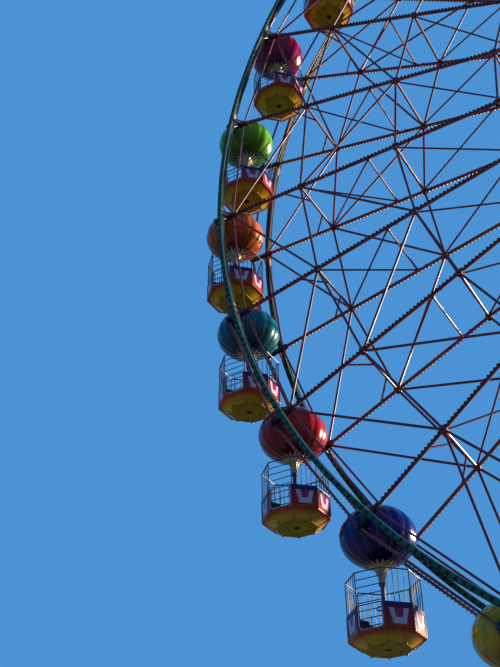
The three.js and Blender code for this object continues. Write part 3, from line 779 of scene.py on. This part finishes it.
def buildSupports(name, sign):
    look = supportLook
    bolt = boltHead(0.024, 0.018, 0, 0.02, 0.025)
    middle = (look["headInner"] + look["headOuter"]) / 2
    # the bearing head: a block with raised faces, a round housing on each and its bolts
    head = newMesh()
    half, deep = look["headHalf"], (look["headOuter"] - look["headInner"]) / 2
    outline = [(-half, look["headLow"]), (half, look["headLow"]), (half, hubHeight + 0.15),
               (half * 0.55, look["headTop"]), (-half * 0.55, look["headTop"]), (-half, hubHeight + 0.15)]
    frontOf = placement((0, sign * middle, 0), (1, 0, 0), (0, -1, 0))
    addPart(head, plate(outline, -deep + 0.02, deep - 0.02, 0.012), 0, frontOf)
    for face in (-1, 1):
        spot = (0, sign * middle + face * (deep - 0.02), hubHeight)
        housing = [(0.27, -0.05), (0.52, -0.05), (0.52, 0.0), (0.50, 0.012), (0.40, 0.02), (0.27, 0.02),
                   (0.27, -0.05)]
        setPart(head, turned(housing, 64), 1, spot, (1, 0, 0), (0, face, 0))
        for a in turnAngle(np.arange(look["coverBolts"]) + 0.5, look["coverBolts"]):
            place = wheelPoint(a, look["coverCircle"], spot[1] + face * 0.016)
            setPart(head, bolt, 2, place, outward(a), (0, face, 0))
        raised = [(x * 0.93, (z - hubHeight) * 0.93 + hubHeight) for x, z in outline]
        turn = placement((0, spot[1] - face * 0.004, 0), (-face, 0, 0), (0, face, 0))
        addPart(head, plate(raised, 0, 0.014, 0.004), 0, turn)
    makeObject(name + "BearingHead", head, [whiteFrameEnamel, greyBaseEnamel, zincBolt], "supports",
               [name + "_bearing_head"])

    baseX, baseY = look["legBase"]
    topX, topY = look["legTop"]
    for sideX, label in ((-1, "left"), (1, "right")):
        leg = newMesh()
        low = np.array((sideX * baseX, sign * baseY, look["beamHeight"]))
        high = np.array((sideX * topX, sign * topY, look["headLow"]))
        boxMember(leg, low, high, look["legSizes"])
        axis = high - low
        for share in look["flanges"]:
            size = look["legSizes"][0] + (look["legSizes"][1] - look["legSizes"][0]) * share
            spot = low + axis * share
            reach = 0.05 if 0.1 < share < 0.9 else 0.08
            flange = plate(rounded(size / 2 + reach, size / 2 + reach, 0.03, 2), -0.02, 0.02, 0.005)
            setPart(leg, flange, 0, spot, (1, 0, 0), (0, 0, 1))
            for i in range(4):
                for edge in (-0.36, -0.12, 0.12, 0.36):
                    a = math.pi * i / 2
                    dx, dy = size / 2 + reach * 0.5, edge * size
                    place = spot + np.array((dx * math.cos(a) - dy * math.sin(a),
                                             dx * math.sin(a) + dy * math.cos(a), 0.018))
                    setPart(leg, bolt, 1, place, (1, 0, 0), (0, 0, 1))
        # ladder on the outer face of the left legs
        if sideX < 0:
            normal = unit(np.cross(axis, (0, 1, 0)))
            normal = normal if normal[0] < 0 else -normal
            rails = []
            for side in (-1, 1):
                offset = np.array((0, side * look["ladderHalf"], 0))
                a = low + axis * 0.03 + normal * 0.36 + offset
                b = low + axis * 0.97 + normal * 0.29 + offset
                tube(leg, a, b, 0.018, 8, 2)
                rails.append((a, b))
            count = int(np.linalg.norm(axis) * 0.94 / look["rungPitch"])
            for i in range(count + 1):
                share = i / count
                tube(leg, *[a + (b - a) * share for a, b in rails], 0.011, 6, 2)
                if i % 6 == 0:
                    for a, b in rails:
                        spot = a + (b - a) * share
                        tube(leg, spot, spot - normal * 0.15, 0.012, 6, 2)
        makeObject(name + label.capitalize() + "Leg", leg, [whiteFrameEnamel, zincBolt, galvanisedSteel],
                   "supports", [f"{name}_{label}_leg"])

    # the cross beam: a lattice of two chords with posts and diagonals, the same height as the solid beam
    beam = newMesh()
    rise, half = look["headLow"] - look["beamHeight"], look["tieHalf"]
    levels = (look["tieLow"], look["tieHigh"])
    share = (look["tieMiddle"] - look["beamHeight"]) / rise
    y = sign * (baseY + (topY - baseY) * share)
    for z in levels:
        reach = baseX + (topX - baseX) * (z - look["beamHeight"]) / rise - 0.2
        for side in (-half, half):
            tube(beam, (-reach, y + side, z), (reach, y + side, z), look["tieTube"], 10, 0)
    count = look["tieBays"]
    reach = baseX + (topX - baseX) * share - 0.24
    for i in range(count):
        a, b = -reach + 2 * reach * i / count, -reach + 2 * reach * (i + 1) / count
        low, high = levels if i % 2 else levels[::-1]
        for side in (-half, half):
            tube(beam, (a, y + side, low), (b, y + side, high), 0.013, 6, 0)
        for z in levels:
            tube(beam, (a, y - half, z), (a, y + half, z), 0.013, 6, 0)
    for side in (-1, 1):
        for z in levels:
            x = side * (reach - 0.03)
            tube(beam, (x, y - half - 0.03, z), (x, y + half + 0.03, z), look["tieTube"], 10, 0)
    makeObject(name + "CrossBeam", beam, [whiteFrameEnamel], "supports", [name + "_tie_beam"])

    ground = newMesh()
    reach = baseX - look["beamHalf"]
    channel(ground, (-reach, sign * baseY, 0), (reach, sign * baseY, 0), look)
    makeObject(name + "GroundBeam", ground, [greyBaseEnamel, zincBolt], "supports", [name + "_base_beam"])


# a ground beam as a wide rolled section: two flanges, a web on each side and stiffeners
def channel(mesh, start, end, look):
    start, end = np.asarray(start, float), np.asarray(end, float)
    axis = unit(end - start)
    across = np.array((-axis[1], axis[0], 0))
    length = np.linalg.norm(end - start)
    half, high = look["beamHalf"], look["beamHeight"]
    matrix = placement(start, across, axis)
    section = [(-half, 0), (half, 0), (half, 0.03), (half - 0.10, 0.045), (half - 0.10, high - 0.045),
               (half, high - 0.03), (half, high), (-half, high), (-half, high - 0.03),
               (-half + 0.10, high - 0.045), (-half + 0.10, 0.045), (-half, 0.03)]
    if matrix[2, 1] < 0:
        section = [(x, -z) for x, z in section]
    addPart(mesh, plate(section, 0, length), 0, matrix)
    bolt = drum(0.022, 0, 0.018, 6)
    count, lift = max(2, int(length / 1.1)), np.array((0, 0, 0.035))
    for i in range(count + 1):
        spot = start + axis * (0.03 + (length - 0.06) * i / count)
        for side in (-1, 1):
            rib = plate(oblong(0, 0.09, 0, high - 0.07), -0.01, 0.01)
            place = spot + across * side * (half - 0.1) + lift
            setPart(mesh, rib, 0, place, across * side, np.cross(across * side, (0, 0, 1)))
            if 0 < i < count:
                setPart(mesh, bolt, 1, spot + across * side * (half - 0.05) + lift, axis, (0, 0, 1))


inBothPlanes(buildSupports, "legs")
for sideX, label in ((-1, "left"), (1, "right")):
    mesh = newMesh()
    baseX, baseY = supportLook["legBase"]
    end = baseY + 2 * supportLook["beamHalf"]
    channel(mesh, (sideX * baseX, -end, 0), (sideX * baseX, end, 0), supportLook)
    shoe = plate(rounded(0.30, 0.30, 0.03, 2), 0, 0.03, 0.005)
    for y in (-baseY, baseY):
        setPart(mesh, shoe, 0, (sideX * baseX, y, supportLook["beamHeight"] - 0.01), (1, 0, 0), (0, 0, 1))
    makeObject(label + "GroundBeam", mesh, [greyBaseEnamel, zincBolt], "supports", [label + "_base_beam"])
print("ground beams made")


# heights are from the pivot
carLook = {
    "radius": 0.842, "halfHeight": 0.68, "centre": 0.146, "gores": 16, "lobe": 0.024, "seam": 0.026,
    "halfWidth": 0.735, "cageTop": -0.835,
    "panelTop": -1.56, "panelLow": -2.10, "underside": -2.28, "floorShare": 0.63,
    "wall": 0.03, "doorHalf": 0.255, "sill": 0.07,
    "barsPerSide": 4, "gatePitch": 0.165, "postRadius": 0.045,
    "floor": -2.07, "seat": -1.79, "backrest": -1.67,
    "handWheel": 0.16, "handHeight": -1.42,
    "petalInner": 0.17, "petalRim": 0.055, "petalReach": 0.13,
    "fluteDepth": 0.06,
    "cageRing": 0.014, "cagePost": 0.012, "cageBar": 0.0075, "gateBar": 0.009,     # radii of the bars
    "benchTurns": (-62, -22.5, 22.5, 62),     # degrees round the tub
}
tubSides = 8
halfSide = math.pi / tubSides     # half the turn from one side of the tub to the next
# the car's material slots, in the order of its finishes
(onBalloon, onSeam, onTrumpet, onBar, onPanel, onWhite, onMagenta, onBand,
 onBowl, onSeat, onLining, onRubber, onLamp, onBolt, onTrim, onFloor) = range(16)


# the height of the balloon's underside at a distance from its middle
def balloonHeight(radius):
    share = math.sqrt(max(0.0, 1 - (radius / carLook["radius"]) ** 2))
    return carLook["centre"] - share * carLook["halfHeight"]


def addBalloon(mesh):
    look = carLook
    # shares across one gore; the strip after the last is the seam
    splits = [look["seam"], 0.18, 0.4, 0.6, 0.82, 1 - look["seam"]]
    columns = [(g + u) / look["gores"] for g in range(look["gores"]) for u in splits]
    count = len(columns)
    latitudes = np.radians(np.concatenate([np.linspace(-84, 66, 17), [74, 81, 86]]))
    points, faces, slots = [], [], []
    for latitude in latitudes:
        for c in columns:
            lobe = 1 - look["lobe"] * (1 - abs(math.sin(math.pi * (c * look["gores"] % 1.0))) ** 0.7)
            height = look["centre"] + look["halfHeight"] * math.sin(latitude) * (0.75 + 0.25 * lobe)
            points.append(around(look["radius"] * math.cos(latitude) * lobe, 2 * math.pi * c, height))
    for i in range(len(latitudes) - 1):
        faces += quads(i * count, (i + 1) * count, count)
        slots += [onSeam if (k + 1) % len(splits) == 0 else onBalloon for k in range(count)]
    top = (len(latitudes) - 1) * count
    points.append((0, 0, look["centre"] + look["halfHeight"]))
    faces += [[top + k, top + (k + 1) % count, len(points) - 1] for k in range(count)]
    addPart(mesh, (points, faces), slots + [onBalloon] * count)
    # crown cap where the seams meet
    crown = [(0.10, -0.032), (0.14, -0.03), (0.13, -0.018), (0, 0.0)]
    addPart(mesh, turned([(r, z + look["centre"] + look["halfHeight"] + 0.012) for r, z in crown], 32),
            onSeam)


# pale petals under the balloon, one to a gore, and the fluted trumpet that they run into
def addTrumpet(mesh):
    look = carLook
    columns, steps, gores = 128, 3, look["gores"]
    points, faces = [], []
    for step in range(steps + 1):
        share = step / steps
        for c in range(columns):
            petal = math.sin(math.pi * (gores * c / columns % 1.0))
            r = look["petalInner"] + (look["petalRim"] + look["petalReach"] * petal ** 3) * share
            lift = 0.003 if step == steps else -0.014 * (1 - 0.4 * share)
            points.append(around(r, turnAngle(c, columns), balloonHeight(r) + lift))
    for step in range(steps):
        a, b = step * columns, (step + 1) * columns
        faces += [[b + c, a + c, a + (c + 1) % columns, b + (c + 1) % columns] for c in range(columns)]
    addPart(mesh, (points, faces), onTrumpet)
    profile = [(0.25, -0.487), (0.20, -0.51), (0.165, -0.54), (0.135, -0.585), (0.108, -0.65), (0.085, -0.72),
               (0.068, -0.80), (0.06, -0.88)]
    points, faces, columns = [], [], 96
    for radius, z in profile:
        for c in range(columns):
            angle = turnAngle(c, columns)
            points.append(around(radius * (1 + look["fluteDepth"] * math.cos(gores * angle)), angle, z))
    for n in range(len(profile) - 1):
        faces += quads((n + 1) * columns, n * columns, columns)
    addPart(mesh, (points, faces), onTrumpet)
    collar = [(0.04, -0.95), (0.07, -0.94), (0.075, -0.90), (0.07, -0.875), (0.04, -0.87)]
    addPart(mesh, turned(collar, 24), onBar)


# a placement at the middle of one side of the tub, facing outwards; side 0 has the door
def facePlace(index, height, inset=0.0):
    facing = np.array(around(1, -math.pi / 2 + turnAngle(index, tubSides), 0))
    return placement(facing * (carLook["halfWidth"] - inset) + np.array((0, 0, height)),
                     np.cross((0, 0, 1), facing), facing)


def cornerPoint(index, height, inset=0.0):
    angle = -math.pi / 2 + turnAngle(index + 0.5, tubSides)
    return np.array(around((carLook["halfWidth"] - inset) / math.cos(halfSide), angle, height))


# one framed panel between two corners: border, U plate with a heart plate inside it, and a scalloped band
def addPanel(mesh, base, half, height):
    addPart(mesh, plate(oblong(-half, half, 0, height), -carLook["wall"], 0), onPanel, base)
    edge, width = 0.012, 0.026
    addPart(mesh, plate(oblong(edge - half, half - edge, edge, edge + width), 0, 0.010, 0.004), onTrim, base)
    for side in (-1, 1):
        strip = [(side * x, z) for x, z in ((half - edge, edge + width), (half - edge, height - 0.095),
                                            (half - edge - width, height - 0.095),
                                            (half - edge - width, edge + width))]
        addPart(mesh, plate(strip, 0, 0.010, 0.004), onTrim, base)
    u = [(-0.216, height - 0.11), (-0.137, height - 0.43), (0.137, height - 0.43), (0.216, height - 0.11),
         (0.108, height - 0.11), (0.064, height - 0.30), (-0.064, height - 0.30), (-0.108, height - 0.11)]
    addPart(mesh, plate(u, -0.001, 0.009, 0.003), onWhite, base)
    heart = [(-0.104, height - 0.11), (-0.060, height - 0.296), (0.060, height - 0.296),
             (0.104, height - 0.11)]
    addPart(mesh, plate(heart, -0.001, 0.005, 0.002), onMagenta, base)
    reach, waves, steps = half - 0.004, 4, 24
    wave = [(reach - 2 * reach * k / steps,
             height - 0.082 - 0.012 * math.cos(2 * math.pi * waves * k / steps)) for k in range(steps + 1)]
    scallop = [(-reach, height - 0.002), (reach, height - 0.002)] + wave
    addPart(mesh, plate(scallop, -0.001, 0.006), onBand, base)


# the door side: jambs and a sill in one plate with rounded lower corners, and a white edge trim
def addDoorway(mesh, base, half, height):
    door, sill, bend, edge = carLook["doorHalf"], carLook["sill"], 0.08, 0.018
    curve = [(door - bend + bend * math.cos(a), sill + bend - bend * math.sin(a))
             for a in np.linspace(0, math.pi / 2, 6)]
    inner = curve + [(-x, z) for x, z in curve[::-1]]
    outline = ([(half, 0), (half, height), (door, height)] + inner
               + [(-door, height), (-half, height), (-half, 0)])
    addPart(mesh, plate(outline, -carLook["wall"], 0), onPanel, base)
    trim = [(x + (edge if x > 0 else -edge), z - edge) for x, z in inner]
    band = ([(door, height)] + inner + [(-door, height), (-door - edge, height)] + trim[::-1]
            + [(door + edge, height)])
    addPart(mesh, plate(band, -0.002, 0.008), onWhite, base)


def addTub(mesh):
    look = carLook
    height = look["panelTop"] - look["panelLow"]
    half = look["halfWidth"] * math.tan(halfSide)
    for i in range(tubSides):
        (addPanel if i else addDoorway)(mesh, facePlace(i, look["panelLow"]), half, height)
    # rails and corner trims
    door, y = look["doorHalf"], 0.01 - look["halfWidth"]
    rail = [cornerPoint(i, look["panelTop"] + 0.004, 0.01) for i in range(tubSides)]
    rail = [np.array((door, y, rail[0][2]))] + rail + [np.array((-door, y, rail[0][2]))]
    rod(mesh, rail, 0.018, 8, onBand)
    rod(mesh, [cornerPoint(i, look["panelLow"], 0.008) for i in range(tubSides)], 0.016, 8, onTrim, True)
    for i in range(tubSides):
        ends = [cornerPoint(i, look[edge], 0.006) for edge in ("panelTop", "panelLow")]
        rod(mesh, ends, 0.015, 8, onTrim)
    # the bowl: eight flat facets, a red band at their upper edge, a rib at each corner, a hole in the floor
    corner = 1 / math.cos(halfSide)
    low, drop = look["halfWidth"] * corner, look["underside"] - look["panelLow"]
    levels = ((0.0, 0.985), (1.0, look["floorShare"]))
    bowl = [(low * share, look["panelLow"] + drop * part) for part, share in levels]
    addPart(mesh, turned(bowl[::-1], tubSides, halfSide), onBowl)
    floor = [bowl[1], (0.07, look["underside"]), (0.07, look["underside"] + 0.05),
             (0, look["underside"] + 0.05)]
    addPart(mesh, turned(floor[::-1], tubSides, halfSide), onFloor)
    band = [(low * 0.99, look["panelLow"] + 0.004), (low * 0.917, look["panelLow"] + drop * 0.2),
            (low * 0.89, look["panelLow"] + drop * 0.2), (low * 0.89, look["panelLow"])]
    addPart(mesh, turned(band[::-1], tubSides, halfSide), onTrim)
    for i in range(tubSides):
        a = halfSide + turnAngle(i, tubSides)
        ends = [around(low * share, a, look["panelLow"] + drop * part) for part, share in levels]
        rod(mesh, ends, 0.009, 6, onBowl)
        spot = around(low * 0.635, a, look["underside"] + 0.012)
        cup = turned([(0.022, 0), (0.026, 0.010), (0.022, 0.026), (0.012, 0.034), (0, 0.036)], 10)
        setPart(mesh, cup, onLamp, spot, (0, 0, 1), (math.cos(a), math.sin(a), -1.2))
    floor = [cornerPoint(i, look["underside"] + 0.002, look["halfWidth"] * (1 - look["floorShare"]))
             for i in range(tubSides)]
    rod(mesh, floor, 0.009, 6, onBowl, True)
    bush = [(0.07, -0.001), (0.07, 0.045), (0.0, 0.045)]
    rim = [(0.07, -0.003), (0.082, -0.003), (0.082, 0.004), (0.07, 0.004), (0.07, -0.003)]
    for profile, slot in ((bush, onRubber), (rim, onBar)):
        addPart(mesh, turned([(r, look["underside"] + z) for r, z in profile], 24), slot)


# floor, lining, post with its hand wheel, and two curved benches with backs
def addInside(mesh):
    look = carLook
    wall, corner = look["wall"], 1 / math.cos(halfSide)
    inside = look["halfWidth"] - wall - 0.002
    floor, seat, backrest = look["floor"], look["seat"], look["backrest"]
    addPart(mesh, drum(inside * corner, floor - 0.01, floor, tubSides, halfSide), onLining)
    w = inside * math.tan(halfSide)
    for i in range(1, tubSides):
        base = facePlace(i, floor - 0.005, wall + 0.001)
        addPart(mesh, plate(oblong(-w, w, 0, 0.51), -0.006, 0), onLining, base)
    tube(mesh, (0, 0, floor), (0, 0, -0.94), look["postRadius"], 16, onBar)
    foot = turned([(0, 0), (0.12, 0), (0.12, 0.012), (0.065, 0.02), (0.05, 0.05), (0, 0.05)], 20)
    setPart(mesh, foot, onBar, (0, 0, floor), (1, 0, 0), (0, 0, 1))
    grip, hand = look["handWheel"], look["handHeight"]
    hoop = [around(grip, a, hand) for a in np.linspace(0, 2 * math.pi, 24, endpoint=False)]
    rod(mesh, hoop, 0.011, 6, onBar, True)
    for a in turnAngle(np.arange(4), 4):
        tube(mesh, (0, 0, hand - 0.02), around(grip, a, hand), 0.008, 6, onBar)
    arc = [math.radians(x) for x in look["benchTurns"]]
    pad = plate(rounded(0.23, 0.095, 0.035, 2), 0.0, 0.045, 0.014)
    for side in (-1, 1):
        bench = [(side * inside * corner * 0.985 * math.cos(a), inside * corner * 0.985 * math.sin(a))
                 for a in arc]
        bench += [(side * inside * 0.60 * math.cos(a), inside * 0.60 * math.sin(a)) for a in arc[::-1]]
        up = placement((0, 0, seat), (1, 0, 0), (0, 0, 1))
        addPart(mesh, plate(bench, -0.05, 0.03, 0.018), onSeat, up)
        addPart(mesh, plate([(x * 0.97, y * 0.97) for x, y in bench], floor - seat, -0.05), onLining, up)
        for index in (1, 2, 3) if side > 0 else (5, 6, 7):
            base = facePlace(index, backrest, wall + 0.01)
            setPart(mesh, pad, onSeat, base[:3, 3], base[:3, 0], -base[:3, 2])


def addCage(mesh):
    look = carLook
    top, low, inset = look["cageTop"], look["panelTop"], 0.016
    rod(mesh, [cornerPoint(i, top, inset) for i in range(tubSides)], look["cageRing"], 8, onBar, True)
    for i in range(tubSides):
        tube(mesh, cornerPoint(i, low, inset), cornerPoint(i, top, inset), look["cagePost"], 8, onBar)
    half = (look["halfWidth"] - inset) * math.tan(halfSide)
    for i in range(1, tubSides):
        base = facePlace(i, low, inset)
        for k in range(look["barsPerSide"]):
            spot = base[:3, 3] + base[:3, 0] * half * (2 * (k + 1) / (look["barsPerSide"] + 1) - 1)
            tube(mesh, spot, spot + np.array((0, 0, top - low)), look["cageBar"], 6, onBar)
    # the gate: level bars from the ring down to the sill, stiles and a middle bar in the lower half
    y, door = inset - look["halfWidth"], look["doorHalf"] - 0.012
    bottom = look["panelLow"] + look["sill"] + 0.04
    for z in np.arange(top - look["gatePitch"], bottom + 0.03, -look["gatePitch"]):
        reach = (half if z > low else door) - 0.004
        tube(mesh, (-reach, y, z), (reach, y, z), look["gateBar"], 6, onBar)
    for x in (-door, 0.0, door):
        tube(mesh, (x, y, bottom), (x, y, low + (0.02 if x else -0.02)), look["gateBar"], 6, onBar)
    for z in (bottom, low + 0.02):
        tube(mesh, (-door, y, z), (door, y, z), 0.010, 6, onBar)
    for z in (bottom + 0.1, low - 0.1):
        tube(mesh, (door + 0.01, y, z - 0.03), (door + 0.01, y, z + 0.03), 0.014, 8, onBolt)


def addPin(mesh):
    pin = wheel["plane"] + 0.10
    tube(mesh, (0, -pin, 0), (0, pin, 0), 0.036, 16, onBar)
    for sign in (-1, 1):
        collar = [(0, 0), (0.10, 0), (0.10, 0.02), (0.06, 0.035), (0.055, 0.10), (0, 0.10)]
        setPart(mesh, turned(collar, 20), onBar, (0, sign * 0.79, 0), (1, 0, 0), (0, sign, 0))
        nut = boltHead(0.055, 0.045, 0, 0.03, 0.036)
        setPart(mesh, nut, onBar, (0, sign * (pin - 0.01), 0), (1, 0, 0), (0, sign, 0))


# one mesh for all cars and one material set for each colour, shared by the cars of that colour
carMesh = newMesh()
for addSection in (addBalloon, addTrumpet, addTub, addInside, addCage, addPin):
    addSection(carMesh)
carShapes = {}
for k, t in enumerate(stations):
    label = colourOrder[(k + 3) % len(colourOrder)]
    name, node = f"car{k + 1:02d}", f"car_{k + 1:02d}"
    place = wheelPoint(t, wheel["pivot"])
    if label not in carShapes:
        finishes = [balloonMaterials[label], seamMaterials[label], creamTrumpetGelcoat, cageBarEnamel,
                    redPanelEnamel, whitePanelEnamel, magentaPanelEnamel, violetBandEnamel,
                    yellowBowlGelcoat, darkSeatVinyl, greyLiningPaint, blackRubber, lampCupAcrylic, zincBolt,
                    orangeTrimEnamel, paintedShadeFloorGelcoat]
        carShapes[label] = makeObject(name, carMesh, finishes, node, [node], 38, place).data
    else:
        piece = linked(name, carShapes[label])
        piece.location = place
        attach(piece, node)
        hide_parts(node)
print("cars made,", sum(len(f) - 2 for f in carMesh["faces"]), "triangles each")


stageLook = {
    "floorHalf": 700,
    "floorColours": "96999c 9da0a3 8c8f92",
    "sky": "5a9edc", "skyStrength": 0.8,
    "sunDirection": (0.52, 0.83, 0.17), "sunStrength": 11, "sunColour": "ffe2c0",
    "sunSpread": 6,                      # degrees across
}


def makeStage(look):
    h = look["floorHalf"]
    data = bpy.data.meshes.new("floor")
    data.from_pydata([(x, y, 0) for x, y in oblong(-h, h, -h, h)], [], [(0, 1, 2, 3)])
    # matt floor paint: pale, with very soft wide patches
    data.materials.append(coated("paleFloorPaint", look["floorColours"], (9000, 2500, 200), (0.9, 0.05),
                                 (0.05, 1), dirtFrom=0.7, **{"Specular IOR Level": 0.0}))
    floor = linked("floor", data)
    floor.location = (0, 0, -0.002)

    world = bpy.data.worlds.new("clearSky")
    world.use_nodes = True
    background = world.node_tree.nodes["Background"]
    background.inputs["Color"].default_value = linear(look["sky"])
    background.inputs["Strength"].default_value = look["skyStrength"]
    bpy.context.scene.world = world

    sun = bpy.data.lights.new("lowSun", "SUN")
    sun.energy = look["sunStrength"]
    sun.angle = math.radians(look["sunSpread"])
    sun.color = linear(look["sunColour"])[:3]
    linked("lowSun", sun).rotation_euler = Vector(look["sunDirection"]).to_track_quat("Z", "Y").to_euler()


# a plain display transform keeps the enamels as deep as their colours are set
bpy.context.scene.view_settings.view_transform = "Standard"
bpy.context.scene.view_settings.look = "Medium High Contrast"
makeStage(stageLook)
print("floor and light made")
